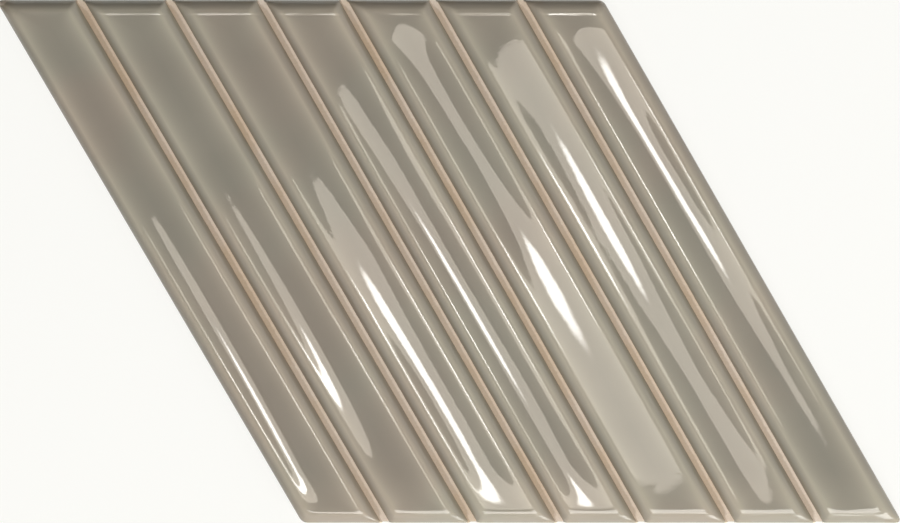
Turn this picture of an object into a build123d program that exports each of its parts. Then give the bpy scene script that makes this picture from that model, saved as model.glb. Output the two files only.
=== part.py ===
from build123d import *

import math
import os

# A pressed, glazed wall tile in the shape of a rhombus. Seven dished bars with rolled edges run from the
# top left to the bottom right of its face, and six grooves of bare clay, made to take grout, part them.
# The tile is one piece of fired clay, so it is one solid. It lies on its back: +Z points out of its face,
# and the origin is the middle of its back.

# Driving dimensions, in millimetres and degrees

side_length = 152.0
corner_angle = 60.0
tile_thickness = 9.0

bar_count = 7
groove_width = 1.75
groove_depth = 3.0
groove_end_notch = 0.35

wall_draft = 10.0
roll_radius = 3.1
dish_radius = 85.0

blunt_corner_radius = 2.3
sharp_corner_radius = 0.8
back_setback = 0.1

back_rim_width = 6.0
back_rib_width = 3.0
back_pocket_count = 6
back_pocket_depth = 0.6

# Sizes that follow from them

slant = math.radians(corner_angle)
draft = math.radians(wall_draft)
across_flats = side_length * math.sin(slant)
groove_floor = tile_thickness - groove_depth
bar_width = (across_flats - (bar_count - 1) * groove_width) / bar_count
bar_pitch = bar_width + groove_width

# The roll ends on the wall above the groove floor, and its top is the crest, the highest line of the tile.
# The dish is an arc that meets the roll without a crease.
deepest_roll = 0.9 * groove_depth / (1 - math.sin(draft))
roll = min(roll_radius, deepest_roll)
roll_centre_height = groove_depth - roll
roll_centre_offset = bar_width / 2 - roll_centre_height * math.tan(draft) - roll / math.cos(draft)
dish_axis_height = roll_centre_height + math.sqrt((dish_radius + roll) ** 2 - roll_centre_offset**2)

pocket_field = across_flats - 2 * (back_setback + back_rim_width)
pocket_width = (pocket_field - (back_pocket_count - 1) * back_rib_width) / back_pocket_count
pocket_pitch = pocket_width + back_rib_width


def slanted_corners(across, tall):
    """Corners of a parallelogram that leans as the tile does, about the origin.

    Its slanted sides stand `across` apart, measured square to them, and its level sides `tall` apart.
    """
    half_width = across / 2 / math.sin(slant)
    lean = tall / 2 / math.tan(slant)
    return [
        (-lean - half_width, tall / 2),
        (-lean + half_width, tall / 2),
        (lean + half_width, -tall / 2),
        (lean - half_width, -tall / 2),
    ]


def places_across(count, pitch):
    """Centres of `count` slanted strips that lie side by side, `pitch` apart."""
    middle = (count - 1) / 2
    return [((number - middle) * pitch / math.sin(slant), 0) for number in range(count)]


def places_in_field(count, pitch):
    """Centres of a `count` by `count` field of slanted cells, `pitch` apart both ways."""
    middle = (count - 1) / 2
    rows = [(middle - number) * pitch for number in range(count)]
    return [(x - row / math.tan(slant), row) for row in rows for x, _ in places_across(count, pitch)]


def tile_outline(inset):
    """The rhombus with its corners rounded, drawn `inset` inside the edge of the tile's face."""
    across = across_flats - 2 * inset
    with BuildSketch() as outline:
        with BuildLine():
            Polyline(*slanted_corners(across, across), close=True)
        make_face()
        fillet(outline.vertices().sort_by(Axis.X)[1:3], blunt_corner_radius)
        fillet(outline.vertices().sort_by(Axis.X)[0], sharp_corner_radius)
        fillet(outline.vertices().sort_by(Axis.X)[-1], sharp_corner_radius)
    return outline.sketch


# One bar, standing on the level of the groove floor

with BuildPart() as bar:
    blank_height = groove_depth + roll
    for level in (0, blank_height):
        inset = level * math.tan(draft)
        with BuildSketch(Plane.XY.offset(level)):
            with BuildLine():
                Polyline(*slanted_corners(bar_width - 2 * inset, across_flats - 2 * inset), close=True)
            make_face()
    loft(ruled=True)
    along_bar = (math.cos(slant), -math.sin(slant), 0)
    with BuildSketch(Plane(origin=(0, 0, dish_axis_height), z_dir=along_bar)):
        Circle(dish_radius)
    extrude(amount=side_length, both=True, mode=Mode.SUBTRACT)
    dish = bar.faces().filter_by(GeomType.CYLINDER)
    fillet(dish.edges(), roll)

# The bars side by side, with the tile's rounded corners

with BuildPart() as relief:
    with Locations(*places_across(bar_count, bar_pitch)):
        add(bar.part)
    with BuildSketch():
        add(tile_outline(0))
    extrude(amount=tile_thickness, mode=Mode.INTERSECT)

# The recess that leaves a rim and ribs standing on the back

with BuildSketch() as back_pocket:
    with BuildLine():
        Polyline(*slanted_corners(pocket_width, pocket_width), close=True)
    make_face()

# The small step at each end of a groove, where the edge stands back from the edge of the bars

with BuildSketch() as groove_ends:
    with Locations(*places_across(bar_count - 1, bar_pitch)):
        with BuildLine():
            Polyline(*slanted_corners(groove_width, across_flats + groove_width), close=True)
        make_face()
    Rectangle(2 * side_length, across_flats - 2 * groove_end_notch, mode=Mode.SUBTRACT)

# The whole tile

with BuildPart() as wall_tile:
    for level, inset in ((0, back_setback), (groove_floor, 0)):
        with BuildSketch(Plane.XY.offset(level)):
            add(tile_outline(inset))
    loft(ruled=True)
    with BuildSketch():
        add(groove_ends.sketch)
    extrude(amount=groove_floor, mode=Mode.SUBTRACT)
    with BuildSketch():
        with Locations(*places_in_field(back_pocket_count, pocket_pitch)):
            add(back_pocket.sketch)
    extrude(amount=back_pocket_depth, mode=Mode.SUBTRACT)
    with Locations((0, 0, groove_floor)):
        add(relief.part)

wall_tile.part.label = "wall_tile"

os.makedirs("parts", exist_ok=True)
export_step(wall_tile.part, "parts/wall_tile.step")
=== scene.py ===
import math
from collections import namedtuple

import bmesh
import bpy
from mathutils import Matrix, Vector, noise


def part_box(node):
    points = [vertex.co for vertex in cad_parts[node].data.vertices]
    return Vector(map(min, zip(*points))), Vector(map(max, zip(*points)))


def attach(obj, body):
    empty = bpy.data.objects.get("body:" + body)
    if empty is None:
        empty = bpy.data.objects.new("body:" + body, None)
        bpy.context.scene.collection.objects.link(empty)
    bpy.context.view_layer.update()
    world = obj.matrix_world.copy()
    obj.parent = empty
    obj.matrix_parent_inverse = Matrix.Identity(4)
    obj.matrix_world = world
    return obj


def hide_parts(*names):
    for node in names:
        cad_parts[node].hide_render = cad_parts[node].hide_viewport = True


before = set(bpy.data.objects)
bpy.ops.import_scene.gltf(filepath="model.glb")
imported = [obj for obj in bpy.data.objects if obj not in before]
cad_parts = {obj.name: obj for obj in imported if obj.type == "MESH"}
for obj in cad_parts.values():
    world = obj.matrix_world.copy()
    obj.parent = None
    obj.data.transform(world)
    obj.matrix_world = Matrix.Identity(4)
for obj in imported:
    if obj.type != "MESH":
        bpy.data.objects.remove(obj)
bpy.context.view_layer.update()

MM = 0.001

# The tile lies on its back. Its bars run from the upper left to the lower right, so a place on its face has
# two slanted lengths: u along the bars, down to the right, and v square to them, up to the right.

TILE_LOW, TILE_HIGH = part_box("wall_tile")
ACROSS_FLATS = TILE_HIGH.y - TILE_LOW.y
CREST_LEVEL = TILE_HIGH.z
SLANT = math.radians(60)
SIDE = ACROSS_FLATS / math.sin(SLANT)
ALONG = Vector((math.cos(SLANT), -math.sin(SLANT), 0))
ACROSS = Vector((math.sin(SLANT), math.cos(SLANT), 0))
UPWARD = Vector((0, 1, 0))
OUTWARD = Vector((0, 0, 1))

# Sizes of the pressed tile. The grooves stand back from its lower side by a notch.

BAR_COUNT = 7
GROOVE_WIDTH = 1.75 * MM
GROOVE_DEPTH = 3.0 * MM
GROOVE_END_NOTCH = 0.35 * MM
NOTCH_ZONE = 0.6 * MM
GROOVE_FLOOR = CREST_LEVEL - GROOVE_DEPTH
BAR_WIDTH = (ACROSS_FLATS - (BAR_COUNT - 1) * GROOVE_WIDTH) / BAR_COUNT
BAR_PITCH = BAR_WIDTH + GROOVE_WIDTH

WALL_DRAFT = math.radians(10)
ROLL_RADIUS = 3.1 * MM
WALL_INSET = GROOVE_DEPTH * math.tan(WALL_DRAFT)
ROLL_REACH = ROLL_RADIUS * math.tan((math.pi / 2 - WALL_DRAFT) / 2)

# The basin of a bar is its dished face, inside the crests where the rolled edges begin.
CREST_INSET = WALL_INSET + ROLL_REACH
BASIN_HALF_WIDTH = BAR_WIDTH / 2 - CREST_INSET
BASIN_HALF_HEIGHT = ACROSS_FLATS / 2 - CREST_INSET

TILE_BLUNT_CORNER = 2.3 * MM
TILE_SHARP_CORNER = 0.97 * MM
BAR_BLUNT_CORNER = 1.0 * MM
BAR_SHARP_CORNER = 0.4 * MM

BACK_SETBACK = 0.1 * MM
BACK_RIM = 6.0 * MM
BACK_RIB = 3.0 * MM
BACK_POCKET_COUNT = 6
BACK_POCKET_DEPTH = 0.6 * MM
BACK_POCKET_LEAN = 0.15 * MM

# How finely it is cut. The cuts near the ends of the bars crowd toward the crests, and each groove is cut
# along these parts of its half width.

ROLL_STEPS = 12
CORNER_STEPS = 4
LENGTH_STEPS = 110
BASIN_STEPS = 24
END_ZONE = 9.0 * MM
END_STEPS = 20
END_CROWDING = 1.8
GROOVE_LINES = (-1, -0.6, 0, 0.6, 1)
SHARP_EDGE = math.radians(38)

# Less than a hair is no distance. What lies above one of these skins isn't on the groove floor or the back,
# and a groove starts beyond this gap from the feet of its bars.
HAIR = 0.02 * MM
FLOOR_SKIN = 0.1 * MM
BACK_SKIN = 1.0 * MM
FOOT_GAP = 0.05 * MM
FACING = 0.9
PARALLEL = 0.9999

# How far the left side, each groove and the right side stray to the right of their even places, in
# millimetres, at the upper and the lower end
GROOVE_DRIFTS = (
    (0.25, 0.25), (0.15, 0.29), (0.41, 0.41), (1.15, 0.36), (-0.08, -1.04), (0.16, -0.48), (0.08, -0.32),
    (-0.25, -0.25))

# How the glazed face of each bar waves, in millimetres but for the leans, from its upper end to its lower
# end. Depths are how far the dish lies under the crests, valleys how far to the right of the bar's middle
# it is deepest, leans the slopes across it and bows the heights along it. A rise is how long the dish takes
# to come up to the crest at the lower end, and 0 where it runs on to that end. A droop is how far the face
# sinks at the upper end, and a lip is how far its very last stretch there stands up.

Dish = namedtuple("Dish", "depths valleys leans bows rise droop lip")
DISHES = (
    Dish((0.16, 0.23, 0.29, 0.3, 0.27), (-0.8, -0.8, -0.9, -1.2), (0.01, 0.01, 0.01, 0, -0.03),
         (0, 0.04, 0, 0, 0), 10, 0, 0),
    Dish((0.16, 0.22, 0.24, 0.145, -0.08), (-1.4, -1.4, -1.2), (0.005, 0.002, -0.002, -0.014, -0.028),
         (0, -0.09, -0.14, -0.13, -0.035, 0.08, 0.14, 0.05, -0.05), 0, 0, 0.075),
    Dish((0.12, 0.2, 0.145, 0.185, 0.16), (-0.3, -0.2, -0.3), (0.004, 0.004, 0.004, 0.004, -0.01),
         (-0.35, -0.17, 0, 0.07, 0.5), 12, 0, 0.09),
    Dish((0.05, 0.12, 0.23, 0.21, 0.26), (-1.0, -1.2, -1.0, -0.9, -0.7), (-0.022, -0.012, 0, 0, -0.01),
         (0.15, 0, 0, 0, 0.26), 13, 0, 0.06),
    Dish((-0.09, 0.2, 0.28, 0.22, 0.12, 0.09, 0.075, 0.04, 0), (0, 0, 0.4),
         (-0.015, -0.014, -0.005, -0.006, -0.012), (0.02, -0.08, 0.16, 0.17, 0.45), 0, 0.075, 0.008),
    Dish((0.03, 0.06, 0.13, 0.145, 0.155, 0.18, 0.205, 0.14, 0.05), (0.6, 0.6, 0.1),
         (-0.022, -0.019, -0.026, -0.028, -0.022), (-0.12, 0, 0, 0.05, 0.65), 0, 0, 0.055),
    Dish((0.02, 0.11, 0.24, 0.24, 0.195, 0.23, 0.26, 0.2, 0.05), (-0.1, 0.3, 1.0), (-0.02, -0.02),
         (0.17, 0, 0, 0.2, 0.71), 0, 0.12, 0.04),
)

# How far from the crest the droops and lips reach. Every bar also settles at its lower end by a depth in
# millimetres. Waves have a height in millimetres, or a share of the lip, and a scale.
DROOP_REACH = 7.0 * MM
LIP_REACH = 0.5 * MM
SETTLE_DEPTH = 0.03
SETTLE_REACH = 1.2 * MM
FINE_WAVE, FINE_SCALE = 0.003, 7.0 * MM
BROAD_WAVE, BROAD_SCALE = 0.012, 24.0 * MM
LIP_WAVE, LIP_SCALE = 0.5, 6.0 * MM

# The glaze is thinnest on a line round each bar, this far inside its foot, and gets thicker from there
# outward and inward. The line is weaker along the ends, and all the glaze is a little thinner toward them.
THIN_LINE_INSET = 2.45 * MM
FADE_OUTWARD = 0.9 * MM
FADE_FROM_ENDS = 0.9 * MM
FADE_FROM_WALLS = 2.1 * MM
END_LINE_LOSS = 0.45
MITRE_BLEND = 1.5 * MM
LOWER_END_THINNESS = 0.25
UPPER_END_THINNESS = 0.12
END_THINNESS_REACH = (5.0 * MM, 15.0 * MM)

# The glaze ends this far above the level of the groove floor on the walls of the grooves and at the grooves
# themselves, and this far below it on the outer sides. Round the tip on the upper left it ends higher, by up
# to this much. A wall starts a zone from the middle of its bar, and the outer sides take the other zones.
GLAZE_OFF_WALLS = 0.25 * MM
GLAZE_OFF_GROOVES = 0.3 * MM
GLAZE_DOWN_SIDES = 1.0 * MM
BARE_TIP = 3.2 * MM
WALL_ZONE = 5.0 * MM
OUTER_ZONE = 0.8 * MM
CORNER_ZONE = 0.3 * MM

# The clay's painted shade and dust go by a value that runs from -1 at the left wall of a groove to 1 at its
# right wall. The left half of each groove gets painted shade, standing in for the shade of the bar beside it.
# At the open ends of the grooves and on the tile's outer sides and back the value is one of these.
MOUTH_TONE = 1
OUTER_TONE = 3


def bar_centre(number):
    """How far across the tile a bar's middle lies."""
    return (number - (BAR_COUNT - 1) / 2) * BAR_PITCH


def bar_at(place):
    """The bar that a place belongs to or lies nearest to."""
    number = round(place.dot(ACROSS) / BAR_PITCH + (BAR_COUNT - 1) / 2)
    return min(max(number, 0), BAR_COUNT - 1)


def off_middle(place):
    """How far a place lies from the middle of its bar, across it."""
    return place.dot(ACROSS) - bar_centre(bar_at(place))


def flat_sheet(half_size=0.5):
    mesh = bmesh.new()
    bmesh.ops.create_grid(mesh, x_segments=1, y_segments=1, size=half_size)
    return mesh


def cut(mesh, geometry, place, normal):
    bmesh.ops.bisect_plane(mesh, geom=geometry, dist=1e-7, plane_co=place, plane_no=normal)


def round_over(mesh, geometry, reach, steps, affect="EDGES"):
    bmesh.ops.bevel(
        mesh, geom=geometry, offset=reach, offset_type="OFFSET", segments=steps, profile=0.5,
        affect=affect, material=-1)


def add_object(name, data):
    made = bpy.data.objects.new(name, data)
    bpy.context.scene.collection.objects.link(made)
    return made


def add_mesh(name, mesh):
    """An object made of a mesh that is ready, which is used up."""
    data = bpy.data.meshes.new(name)
    mesh.to_mesh(data)
    mesh.free()
    return add_object(name, data)


# Making the tile


def rhombus_sheet():
    """One flat face at the level of the groove floor, cut lengthwise along each groove."""
    mesh = flat_sheet()
    lean = Matrix((
        (SIDE, -ALONG.x * SIDE, 0, 0),
        (0, -ALONG.y * SIDE, 0, 0),
        (0, 0, 1, GROOVE_FLOOR),
        (0, 0, 0, 1),
    ))
    bmesh.ops.transform(mesh, matrix=lean, verts=mesh.verts[:])
    for number in range(BAR_COUNT - 1):
        for part in GROOVE_LINES:
            line = bar_centre(number) + BAR_PITCH / 2 + part * GROOVE_WIDTH / 2
            cut(mesh, mesh.verts[:] + mesh.edges[:] + mesh.faces[:], ACROSS * line, ACROSS)
    return mesh


def draw_down_sides(mesh):
    """The outer sides, which stand back a little at the bottom, and the flat back."""
    rim = [edge for edge in mesh.edges if edge.is_boundary]
    made = bmesh.ops.extrude_edge_only(mesh, edges=rim)["geom"]
    bottom = [item for item in made if isinstance(item, bmesh.types.BMVert)]
    inward = 1 - BACK_SETBACK / (ACROSS_FLATS / 2)
    bmesh.ops.scale(mesh, vec=(inward, inward, 0), verts=bottom)
    loop = [item for item in made if isinstance(item, bmesh.types.BMEdge) and item.is_boundary]
    bmesh.ops.contextual_create(mesh, geom=loop)
    bmesh.ops.recalc_face_normals(mesh, faces=mesh.faces[:])


def raise_bars(mesh):
    """The bars drawn up from the sheet with leaning walls, and their top edges rolled over."""
    least = SIDE * GROOVE_WIDTH * 2
    bars = [face for face in mesh.faces if face.normal.z > FACING and face.calc_area() > least]
    bmesh.ops.inset_individual(
        mesh, faces=bars, thickness=WALL_INSET, depth=GROOVE_DEPTH, use_even_offset=True)
    rims = list({edge for bar in bars for edge in bar.edges})
    round_over(mesh, rims, ROLL_REACH, ROLL_STEPS)


def corner_of(place):
    """The bar's corner that a place is nearest to, as its bar and two signs, across and up."""
    return bar_at(place), off_middle(place) > 0, place.y > 0


def mitres(mesh, outer, blunt):
    """The corner edges of the bars, from the crest to the foot, and at the tile's own corners to the back."""
    found = []
    for edge in mesh.edges:
        ends = sorted((vert.co for vert in edge.verts), key=lambda end: end.z)
        corners = {corner_of(end) for end in ends}
        insets = [(BAR_WIDTH / 2 - abs(off_middle(end)), ACROSS_FLATS / 2 - abs(end.y)) for end in ends]
        if len(corners) > 1 or max(abs(across - down) for across, down in insets) > HAIR:
            continue
        number, right, upper = corners.pop()
        is_outer = number == (BAR_COUNT - 1 if right else 0)
        under = ends[0].z < GROOVE_FLOOR - HAIR
        if (right == upper) == blunt and is_outer == outer and (is_outer or not under):
            found.append(edge)
    return found


def round_corners(mesh):
    """The corners of the bars rounded a little, and the tile's own corners more, down to the back."""
    for outer, blunt, radius in (
            (True, True, TILE_BLUNT_CORNER), (True, False, TILE_SHARP_CORNER),
            (False, True, BAR_BLUNT_CORNER), (False, False, BAR_SHARP_CORNER)):
        turn = SLANT if blunt else math.pi - SLANT
        round_over(mesh, mitres(mesh, outer, blunt), radius * math.tan(turn / 2), CORNER_STEPS)


def faces_where(mesh, wanted):
    """The faces whose middle is wanted, with their edges and corners."""
    faces = [face for face in mesh.faces if wanted(face.calc_center_median())]
    edges = {edge for face in faces for edge in face.edges}
    verts = {vert for face in faces for vert in face.verts}
    return faces + list(edges) + list(verts)


def divide_bars(mesh):
    """Enough cuts along and across each bar for its dished and waving face."""
    for number in range(BAR_COUNT):
        for step in range(1, BASIN_STEPS):
            line = bar_centre(number) + BASIN_HALF_WIDTH * (2 * step / BASIN_STEPS - 1)
            bar = faces_where(mesh, lambda middle: middle.z > GROOVE_FLOOR + FLOOR_SKIN
                              and bar_at(middle) == number and abs(off_middle(middle)) < BASIN_HALF_WIDTH)
            cut(mesh, bar, ACROSS * line, ACROSS)
    reach = ACROSS_FLATS / 2 - END_ZONE
    for level in (reach, -reach):
        cut(mesh, faces_where(mesh, lambda middle: middle.z > BACK_SKIN), UPWARD * level, UPWARD)
    long_edges = [edge for edge in mesh.edges if edge.calc_length() > SIDE / 2 and abs(
        (edge.verts[1].co - edge.verts[0].co).normalized().dot(ALONG)) > PARALLEL]
    bmesh.ops.subdivide_edges(mesh, edges=long_edges, cuts=LENGTH_STEPS, use_grid_fill=True)
    for step in range(1, END_STEPS + 1):
        level = BASIN_HALF_HEIGHT - (BASIN_HALF_HEIGHT - reach) * (1 - step / END_STEPS) ** END_CROWDING
        for line in (level, -level):
            end = faces_where(mesh, lambda middle: middle.z > BACK_SKIN and middle.y * line > 0
                              and abs(middle.y) > reach)
            cut(mesh, end, UPWARD * line, UPWARD)


def press_back(mesh):
    """The pockets between the ribs of the back, pressed up into it with slightly leaning walls."""
    field = ACROSS_FLATS - 2 * (BACK_SETBACK + BACK_RIM)
    pitch = (field + BACK_RIB) / BACK_POCKET_COUNT
    for number in range(BACK_POCKET_COUNT):
        for edge in (0, pitch - BACK_RIB):
            line = number * pitch + edge - field / 2
            for direction in (ACROSS, UPWARD):
                cut(mesh, faces_where(mesh, lambda middle: middle.z < HAIR), direction * line, direction)

    def in_pocket(length):
        return abs(length) < field / 2 and (length + field / 2) % pitch < pitch - BACK_RIB

    pockets = [face for face in mesh.faces if face.normal.z < -FACING and all(
        in_pocket(face.calc_center_median().dot(direction)) for direction in (ACROSS, UPWARD))]
    bmesh.ops.inset_region(
        mesh, faces=pockets, thickness=BACK_POCKET_LEAN, depth=-BACK_POCKET_DEPTH, use_boundary=True,
        use_even_offset=True)


# Waves, dishes and small flaws of the pressed and fired face


def smooth(low, high, value):
    """0 below low, 1 above high, and a soft rise between."""
    part = min(max((value - low) / (high - low), 0), 1)
    return part * part * (3 - 2 * part)


def through(values, part):
    """A smooth curve through values set at even steps, read at a part from 0 to 1."""
    spot = min(max(part, 0), 1) * (len(values) - 1)
    first = min(int(spot), len(values) - 2)
    here, there = values[first], values[first + 1]
    before = values[first - 1] if first > 0 else 2 * here - there
    after = values[first + 2] if first + 2 < len(values) else 2 * there - here
    t = spot - first
    return here + 0.5 * t * (there - before + t * (
        2 * before - 5 * here + 4 * there - after + t * (3 * (here - there) + after - before)))


def rounded_rise(part):
    """How far a dish has risen at a part of the way from its lowest line to its crest, level at both."""
    part = min(abs(part), 1)
    return 1.475 * part ** 2 - 0.37 * part ** 4 - 0.105 * part ** 14


def settled(part):
    """0 from 1 on, rising ever faster to 1 at 0, and evenly beyond it."""
    return 1 - 2 * part if part < 0 else (1 - min(part, 1)) ** 2


def wave(place, scale, seed):
    """Smooth noise between -1 and 1 whose bumps are about `scale` across."""
    return noise.noise(Vector((place.x / scale, place.y / scale, seed)))


def face_height(place):
    """How high the glazed face lies at a place, counted from the even height of its own bar."""
    number = bar_at(place)
    dish = DISHES[number]
    part = 0.5 - place.y / ACROSS_FLATS
    side = max(min(off_middle(place) / BASIN_HALF_WIDTH, 1), -1)
    to_upper_end = max(BASIN_HALF_HEIGHT - place.y, 0)
    to_lower_end = BASIN_HALF_HEIGHT + place.y

    valley = through(dish.valleys, part) * MM / BASIN_HALF_WIDTH
    bowl = 1 - rounded_rise(side - valley / (1 - valley ** 2) * (1 - side ** 2))
    if dish.rise and to_lower_end < dish.rise * MM:
        bowl *= 1 - rounded_rise(1 - max(to_lower_end, 0) / (dish.rise * MM))
    height = through(dish.bows, part) - through(dish.depths, part) * bowl
    height -= through(dish.leans, part) * side * BASIN_HALF_WIDTH / MM
    height += FINE_WAVE * wave(place, FINE_SCALE, number) + BROAD_WAVE * wave(place, BROAD_SCALE, number + 20)
    height -= dish.droop * (1 - min(to_upper_end / DROOP_REACH, 1)) ** 2
    height -= SETTLE_DEPTH * settled(to_lower_end / SETTLE_REACH)
    lip = dish.lip * (1 + LIP_WAVE * wave(place, LIP_SCALE, number + 40))
    height += lip * (1 - min(to_upper_end / LIP_REACH, 1) ** 2)
    return height * MM


def drift(place):
    """How far the bars and grooves stray across the tile at a place."""
    spot = place.dot(ACROSS) / BAR_PITCH + BAR_COUNT / 2
    first = min(max(int(spot), 0), BAR_COUNT - 1)
    part = 0.5 - place.y / ACROSS_FLATS
    here, there = (upper + (lower - upper) * part for upper, lower in GROOVE_DRIFTS[first:first + 2])
    return (here + (there - here) * min(max(spot - first, 0), 1)) * MM


# Where the glaze is thin, where it ends, and the clay that it leaves bare, with its painted shade and dust


def thin_line(place):
    """1 on the line round each bar where the glaze has run thinnest, and less to both sides of it."""
    across = BAR_WIDTH / 2 - THIN_LINE_INSET - abs(off_middle(place))
    down = ACROSS_FLATS / 2 - THIN_LINE_INSET - abs(place.y)
    outside = [(-length / FADE_OUTWARD) ** 1.3 for length in (across, down) if length < 0]
    if outside:
        return math.exp(-max(outside))
    return math.exp(-min((across / FADE_FROM_WALLS) ** 1.1, (down / FADE_FROM_ENDS) ** 1.2))


def glaze_thinness(place):
    """How thin the glaze is, up to 1, by the line round each bar and by how near its ends are."""
    across = BAR_WIDTH / 2 - abs(off_middle(place))
    down = ACROSS_FLATS / 2 - abs(place.y)
    line = thin_line(place) * (1 - END_LINE_LOSS * smooth(-MITRE_BLEND, MITRE_BLEND, across - down))
    at_end = LOWER_END_THINNESS if place.y < 0 else UPPER_END_THINNESS
    return min(line + at_end * (1 - smooth(*END_THINNESS_REACH, down)), 1)


def in_groove(place):
    """True between the feet of two bars, from the groove floor down to the back."""
    return abs(off_middle(place)) > BAR_WIDTH / 2 + FOOT_GAP


def on_outline(place):
    """True on the tile's widest outline, at the feet of the bars and the open ends of the grooves."""
    return max(abs(place.y), abs(place.dot(ACROSS))) > ACROSS_FLATS / 2 - HAIR


def glaze_edge(place):
    """How high above the back the glaze ends at a place."""
    off, down = abs(off_middle(place)), ACROSS_FLATS / 2 - abs(place.y)
    beside_groove = off > WALL_ZONE and abs(place.dot(ACROSS)) < ACROSS_FLATS / 2 - OUTER_ZONE
    end_of_bar = down < HAIR and off < BAR_WIDTH / 2 - CORNER_ZONE
    if in_groove(place):
        edge = GROOVE_FLOOR + GLAZE_OFF_GROOVES
    elif place.z < GROOVE_FLOOR - HAIR or end_of_bar or not beside_groove:
        edge = GROOVE_FLOOR - GLAZE_DOWN_SIDES
    else:
        edge = GROOVE_FLOOR + GLAZE_OFF_WALLS
    from_tip = (place.xy - Vector((TILE_LOW.x, TILE_HIGH.y))).length
    return edge + max(0, BARE_TIP - from_tip)


def clay_shade_and_dust(place):
    """Where a bare place lies, for the painted shade on the left of each groove and the dust outside."""
    under = place.z < GROOVE_FLOOR - HAIR
    if on_outline(place) and in_groove(place) and not under:
        return MOUTH_TONE
    if on_outline(place) or under:
        return OUTER_TONE
    beside = max(BAR_PITCH / 2 - abs(off_middle(place)), 0)
    return math.copysign(beside, -off_middle(place)) / (GROOVE_WIDTH / 2)


def shape_face(mesh):
    """Gives the face its dishes and waves, and notes where the glaze is thin and where it ends.

    The highest point of each bar stays at the level of the crests, and the rest of it lies lower.
    """
    thin = mesh.verts.layers.float.new("thin_glaze")
    covered = mesh.verts.layers.float.new("glaze_reach")
    bare = mesh.verts.layers.float.new("groove_side")
    heights = {vert: face_height(vert.co) for vert in mesh.verts if vert.co.z > GROOVE_FLOOR + HAIR}
    highest = [-math.inf] * BAR_COUNT
    for vert, height in heights.items():
        number = bar_at(vert.co)
        highest[number] = max(highest[number], height)
    for vert in mesh.verts:
        place = vert.co.copy()
        vert[thin] = glaze_thinness(place)
        vert[covered] = (place.z - glaze_edge(place)) / MM
        vert[bare] = clay_shade_and_dust(place)
        if vert in heights:
            share = smooth(GROOVE_FLOOR, CREST_LEVEL, place.z)
            vert.co.z += (heights[vert] - highest[bar_at(place)]) * share
        if in_groove(place) and place.y < NOTCH_ZONE - ACROSS_FLATS / 2:
            vert.co.y += GROOVE_END_NOTCH
        if place.z > BACK_SKIN:
            vert.co.x += drift(place) / ACROSS.x


def make_tile():
    """The whole tile as one closed piece."""
    mesh = rhombus_sheet()
    draw_down_sides(mesh)
    raise_bars(mesh)
    round_corners(mesh)
    divide_bars(mesh)
    press_back(mesh)
    shape_face(mesh)
    bmesh.ops.recalc_face_normals(mesh, faces=mesh.faces[:])
    for face in mesh.faces:
        face.smooth = True
    for edge in mesh.edges:
        edge.smooth = edge.calc_face_angle(0) < SHARP_EDGE
    piece = add_mesh("glazed_tile", mesh)
    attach(piece, "root")
    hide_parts("wall_tile")
    return piece


# Finishes

GLAZE_DEEP = (0.268, 0.246, 0.208, 1)
GLAZE_THIN = (0.436, 0.394, 0.322, 1)
GLAZE_EDGE = (0.54, 0.465, 0.365, 1)
GLAZE_WARM = (1.0, 0.965, 0.91, 1)
GLAZE_PINK = (1.02, 0.99, 0.98, 1)
GLAZE_GREEN = (0.97, 1.0, 0.99, 1)
GLAZE_ROUGHNESS = 0.018
GLAZE_IOR = 1.5
RIPPLE_HEIGHT = 0.003 * MM

CLAY = (0.70, 0.615, 0.53, 1)
CLAY_DARK = (0.60, 0.50, 0.40, 1)
# Painted shade, multiplied into the left half of each groove floor where the bar beside it would shade it
CLAY_PAINTED_SHADE = (0.72, 0.68, 0.63, 1)
CLAY_STAIN = (0.93, 0.84, 0.7, 1)
CLAY_DUST = (0.78, 0.76, 0.73, 1)
CLAY_ROUGHNESS = 0.85
SAND_HEIGHT = 0.03 * MM

PAPER = (0.88, 0.88, 0.86, 1)
PAPER_WHITE = (0.992, 0.991, 0.958, 1)
PAPER_WHITE_SHARE = 0.85


class Painter:
    """Adds nodes to the tree of a material or of the world, with short calls."""

    def __init__(self, owner):
        owner.use_nodes = True
        self.tree = owner.node_tree
        self.tree.nodes.clear()

    def node(self, kind, **inputs):
        made = self.tree.nodes.new(kind)
        for name, value in inputs.items():
            self.feed(made.inputs[name.replace("_", " ")], value)
        return made

    def feed(self, socket, value):
        if isinstance(value, bpy.types.NodeSocket):
            self.tree.links.new(value, socket)
        else:
            socket.default_value = value

    def fill(self, sockets, values):
        for socket, value in zip(sockets, values):
            self.feed(socket, value)

    def place(self, kind):
        return self.node("ShaderNodeTexCoord").outputs[kind]

    def math(self, operation, *values):
        made = self.node("ShaderNodeMath")
        made.operation = operation
        self.fill(made.inputs, values)
        return made.outputs[0]

    def vector(self, operation, *values):
        made = self.node("ShaderNodeVectorMath")
        made.operation = operation
        self.fill(made.inputs, values)
        return made.outputs["Value" if operation == "LENGTH" else "Vector"]

    def step(self, value, low, high, bottom=0.0, top=1.0):
        made = self.node("ShaderNodeMapRange")
        made.interpolation_type = "SMOOTHSTEP"
        self.fill(made.inputs, (value, low, high, bottom, top))
        return made.outputs[0]

    def noise(self, coordinates, scale, detail=2.0, roughness=0.5):
        made = self.node(
            "ShaderNodeTexNoise", Vector=coordinates, Scale=scale, Detail=detail, Roughness=roughness)
        return made.outputs["Fac"]

    def mix(self, share, first, second, blend="MIX"):
        made = self.node("ShaderNodeMix")
        made.data_type = "RGBA"
        made.blend_type = blend
        self.fill((made.inputs[0], made.inputs[6], made.inputs[7]), (share, first, second))
        return made.outputs[2]

    def tint(self, colour, tint, share=1.0):
        return self.mix(share, colour, tint, "MULTIPLY")

    def attribute(self, name):
        made = self.node("ShaderNodeAttribute")
        made.attribute_name = name
        return made.outputs["Fac"]


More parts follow.
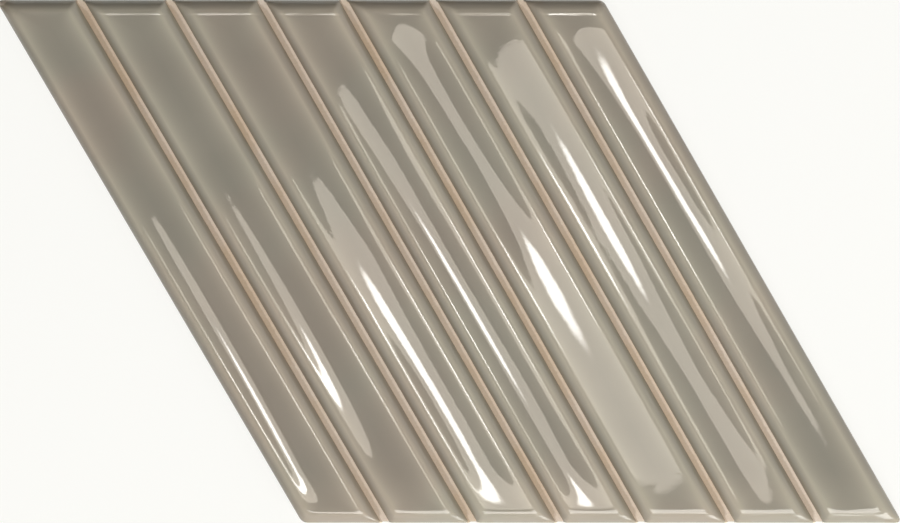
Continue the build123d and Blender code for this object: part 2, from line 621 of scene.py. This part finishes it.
def glaze_and_clay():
    """Warm grey gloss glaze, lighter where it is thin, and the bare pinkish clay it leaves, with painted
    groove shade.
    """
    material = bpy.data.materials.new("glaze_and_clay")
    paint = Painter(material)
    here = paint.place("Object")

    # Where the glaze ends, with a ragged edge, and how near to that edge a place is
    ragged = paint.math("MULTIPLY_ADD", paint.noise(here, 900.0, 3.0, 0.6), 0.5, -0.25)
    reach = paint.math("ADD", paint.attribute("glaze_reach"), ragged)
    glazed = paint.step(reach, -0.05, 0.05)
    lip = paint.step(reach, 0.0, 0.7, 0.5, 0.0)
    flank = paint.step(reach, 1.0, 2.5, 1.0, 0.0)

    glaze = paint.mix(paint.attribute("thin_glaze"), GLAZE_DEEP, GLAZE_THIN)
    glaze = paint.mix(lip, glaze, GLAZE_EDGE)
    glaze = paint.tint(glaze, paint.step(paint.noise(here, 45.0), 0.3, 0.7, 0.97, 1.03))
    hue = paint.step(paint.noise(here, 28.0), 0.35, 0.65)
    glaze = paint.tint(glaze, paint.mix(hue, GLAZE_PINK, GLAZE_GREEN))
    glaze = paint.tint(glaze, GLAZE_WARM, flank)

    # Sandy clay, with painted shade on the left of the grooves, dusty on the outer sides and the back, and
    # stained
    sand = paint.step(paint.noise(here, 2600.0, 2.0, 0.6), 0.35, 0.65, 0.0, 0.35)
    clay = paint.mix(sand, CLAY, CLAY_DARK)
    tone = paint.math("MULTIPLY_ADD", ragged, 1.2, paint.attribute("groove_side"))
    # Painted shade: the left half of each groove is darkened as if its left bar shaded it
    clay = paint.tint(clay, CLAY_PAINTED_SHADE, paint.step(tone, 0.0, 0.6, 1.0, 0.0))
    clay = paint.tint(clay, CLAY_DUST, paint.step(tone, 1.5, 2.5))
    clay = paint.tint(clay, CLAY_STAIN, paint.step(paint.noise(here, 50.0, 3.0, 0.6), 0.4, 0.7, 0.0, 0.6))

    ripple = paint.math("MULTIPLY", paint.noise(here, 420.0, 3.0, 0.55), RIPPLE_HEIGHT)
    roughened = paint.math("MULTIPLY", paint.math("SUBTRACT", 1.0, glazed), SAND_HEIGHT)
    surface = paint.math("MULTIPLY_ADD", paint.noise(here, 3500.0, 3.0, 0.7), roughened, ripple)
    bump = paint.node("ShaderNodeBump", Strength=1.0, Distance=1.0, Height=surface)

    shader = paint.node(
        "ShaderNodeBsdfPrincipled", Base_Color=paint.mix(glazed, clay, glaze),
        Roughness=paint.step(glazed, 0.0, 1.0, CLAY_ROUGHNESS, GLAZE_ROUGHNESS), IOR=GLAZE_IOR,
        Normal=bump.outputs[0])
    paint.node("ShaderNodeOutputMaterial", Surface=shader.outputs[0])
    return material


def paper_white():
    """A plain white floor that shows as white, and still takes some of the tile's shadow."""
    material = bpy.data.materials.new("paper_white")
    paint = Painter(material)
    matt = paint.node("ShaderNodeBsdfDiffuse", Color=PAPER)
    glow = paint.node("ShaderNodeEmission", Color=PAPER_WHITE, Strength=1.0)
    rays = paint.node("ShaderNodeLightPath").outputs
    mirrored = paint.math("MAXIMUM", rays["Is Glossy Ray"], rays["Is Transmission Ray"])
    seen = paint.math("MAXIMUM", rays["Is Camera Ray"], mirrored)
    both = paint.node("ShaderNodeMixShader")
    share = paint.math("MULTIPLY", seen, PAPER_WHITE_SHARE)
    paint.fill(both.inputs, (share, matt.outputs[0], glow.outputs[0]))
    paint.node("ShaderNodeOutputMaterial", Surface=both.outputs[0])
    return material


# Lights, floor and camera. Lengths are in metres but for the lens, which is in millimetres, and U and V are
# places along and across the bars.

SOFT_WHITE = (1.0, 0.985, 0.96, 1)

LAMP_HEIGHT = 2.0
LAMP_TINT = (1.0, 0.91, 0.79, 1)
LAMP_LEVEL = 5.1
LAMP_U, LAMP_V = 0.178, -0.090
LAMP_LENGTH, LAMP_WIDTH = 0.317, 0.290
LAMP_CORNER = 0.095

CORE_TINT = (1.0, 0.985, 0.95, 1)
CORE_LEVEL = 17.0
CORE_U, CORE_V = 0.184, -0.048
CORE_LENGTH, CORE_WIDTH = 0.135, 0.102

END_LAMP_TINT = (1.0, 0.955, 0.905, 1)
END_LAMP_LEVEL = 8.0
END_LAMP_U, END_LAMP_V = 0.73, -0.35
END_LAMP_LENGTH, END_LAMP_WIDTH = 0.60, 0.80
END_LAMP_CORNER = 0.05

KEY_POWER = 7.2
KEY_WIDTH, KEY_HEIGHT = 0.6, 0.5
KEY_DISTANCE = 1.0
KEY_ELEVATION = math.radians(37)
KEY_TURN = math.radians(5)

CAMERA_DISTANCE = 1.0
CAMERA_TILT = math.radians(5.0)
CAMERA_LENS = 159.97
CAMERA_AIM = Vector((-0.00045, 0.00063, CREST_LEVEL))

FLOOR_HALF_SIZE = 6.0
PANEL_CORNER_STEPS = 10


def panel(name, u, v, width, height, corner, material):
    """A level lighting panel with rounded corners, turned with the bars and not seen by the camera itself."""
    mesh = flat_sheet()
    bmesh.ops.scale(mesh, vec=(width, height, 1), verts=mesh.verts[:])
    round_over(mesh, mesh.verts[:], corner, PANEL_CORNER_STEPS, "VERTICES")
    made = add_mesh(name, mesh)
    made.data.materials.append(material)
    made.location = ALONG * u + ACROSS * v + OUTWARD * LAMP_HEIGHT
    made.rotation_mode = "QUATERNION"
    made.rotation_quaternion = Matrix((ALONG, ACROSS, OUTWARD)).transposed().to_quaternion()
    made.visible_camera = False


def lamp_glow():
    """The light of a soft warm panel with a hot white core."""
    material = bpy.data.materials.new("lamp_glow")
    paint = Painter(material)
    middle = Vector((CORE_U - LAMP_U, CORE_V - LAMP_V, 0))
    size = Vector((CORE_LENGTH / 2, CORE_WIDTH / 2, 1))
    from_middle = paint.vector("SUBTRACT", paint.place("Object"), middle)
    core = paint.step(paint.vector("LENGTH", paint.vector("DIVIDE", from_middle, size)), 0.8, 1.25, 1.0, 0.0)
    glow = paint.node(
        "ShaderNodeEmission", Color=paint.mix(core, LAMP_TINT, CORE_TINT),
        Strength=paint.math("MULTIPLY_ADD", core, CORE_LEVEL, LAMP_LEVEL))
    paint.node("ShaderNodeOutputMaterial", Surface=glow.outputs[0])
    return material


def end_glow():
    """The even light of the panel that mirrors in the rolled lower ends of the bars."""
    material = bpy.data.materials.new("end_glow")
    paint = Painter(material)
    glow = paint.node("ShaderNodeEmission", Color=END_LAMP_TINT, Strength=END_LAMP_LEVEL)
    paint.node("ShaderNodeOutputMaterial", Surface=glow.outputs[0])
    return material


def light_world():
    """A studio's surroundings: light near the horizon, darker overhead and toward the upper left."""
    world = bpy.data.worlds.new("studio")
    paint = Painter(world)
    right, up, out = paint.node("ShaderNodeSeparateXYZ", Vector=paint.place("Generated")).outputs
    height = paint.step(out, 0.25, 0.95, 1.0, 0.2)
    away = paint.math("MULTIPLY_ADD", right, -0.6, paint.math("MULTIPLY", up, 0.8))
    side = paint.step(away, -0.1, 0.5, 1.0, 0.05)
    back = paint.node("ShaderNodeBackground", Color=SOFT_WHITE, Strength=paint.math("MULTIPLY", height, side))
    paint.node("ShaderNodeOutputWorld", Surface=back.outputs[0])
    bpy.context.scene.world = world


def set_lights():
    """A large key from the lower right, a soft lamp with a hot core that mirrors in the bars, and a panel
    further down the bars that mirrors in their rolled ends."""
    panel("soft_lamp", LAMP_U, LAMP_V, LAMP_LENGTH, LAMP_WIDTH, LAMP_CORNER, lamp_glow())
    panel("end_lamp", END_LAMP_U, END_LAMP_V, END_LAMP_LENGTH, END_LAMP_WIDTH, END_LAMP_CORNER, end_glow())

    key = bpy.data.lights.new("key_panel", "AREA")
    key.shape = "RECTANGLE"
    key.size, key.size_y = KEY_WIDTH, KEY_HEIGHT
    key.energy = KEY_POWER
    key.color = SOFT_WHITE[:3]
    holder = add_object("key_panel", key)
    level = ALONG * math.cos(KEY_TURN) + ACROSS * math.sin(KEY_TURN)
    toward = level * math.cos(KEY_ELEVATION) + OUTWARD * math.sin(KEY_ELEVATION)
    holder.location = toward * KEY_DISTANCE
    holder.rotation_mode = "QUATERNION"
    holder.rotation_quaternion = toward.to_track_quat("Z", "Y")


def set_floor():
    floor = add_mesh("floor", flat_sheet(FLOOR_HALF_SIZE))
    floor.data.materials.append(paper_white())


def set_camera():
    """Almost straight over the tile, a few degrees toward its upper side. The tile fills the picture."""
    data = bpy.data.cameras.new("camera")
    data.sensor_width = 36.0
    data.lens = CAMERA_LENS
    data.clip_start, data.clip_end = 0.01, 20.0
    camera = add_object("camera", data)
    back = Vector((0, math.sin(CAMERA_TILT), math.cos(CAMERA_TILT)))
    camera.location = CAMERA_AIM + back * CAMERA_DISTANCE
    camera.rotation_euler = (-CAMERA_TILT, 0, 0)
    bpy.context.scene.camera = camera


tile = make_tile()
tile.data.materials.append(glaze_and_clay())
set_floor()
light_world()
set_lights()
set_camera()

scene = bpy.context.scene
scene.view_settings.view_transform = "Standard"
scene.render.resolution_x, scene.render.resolution_y = 900, 523
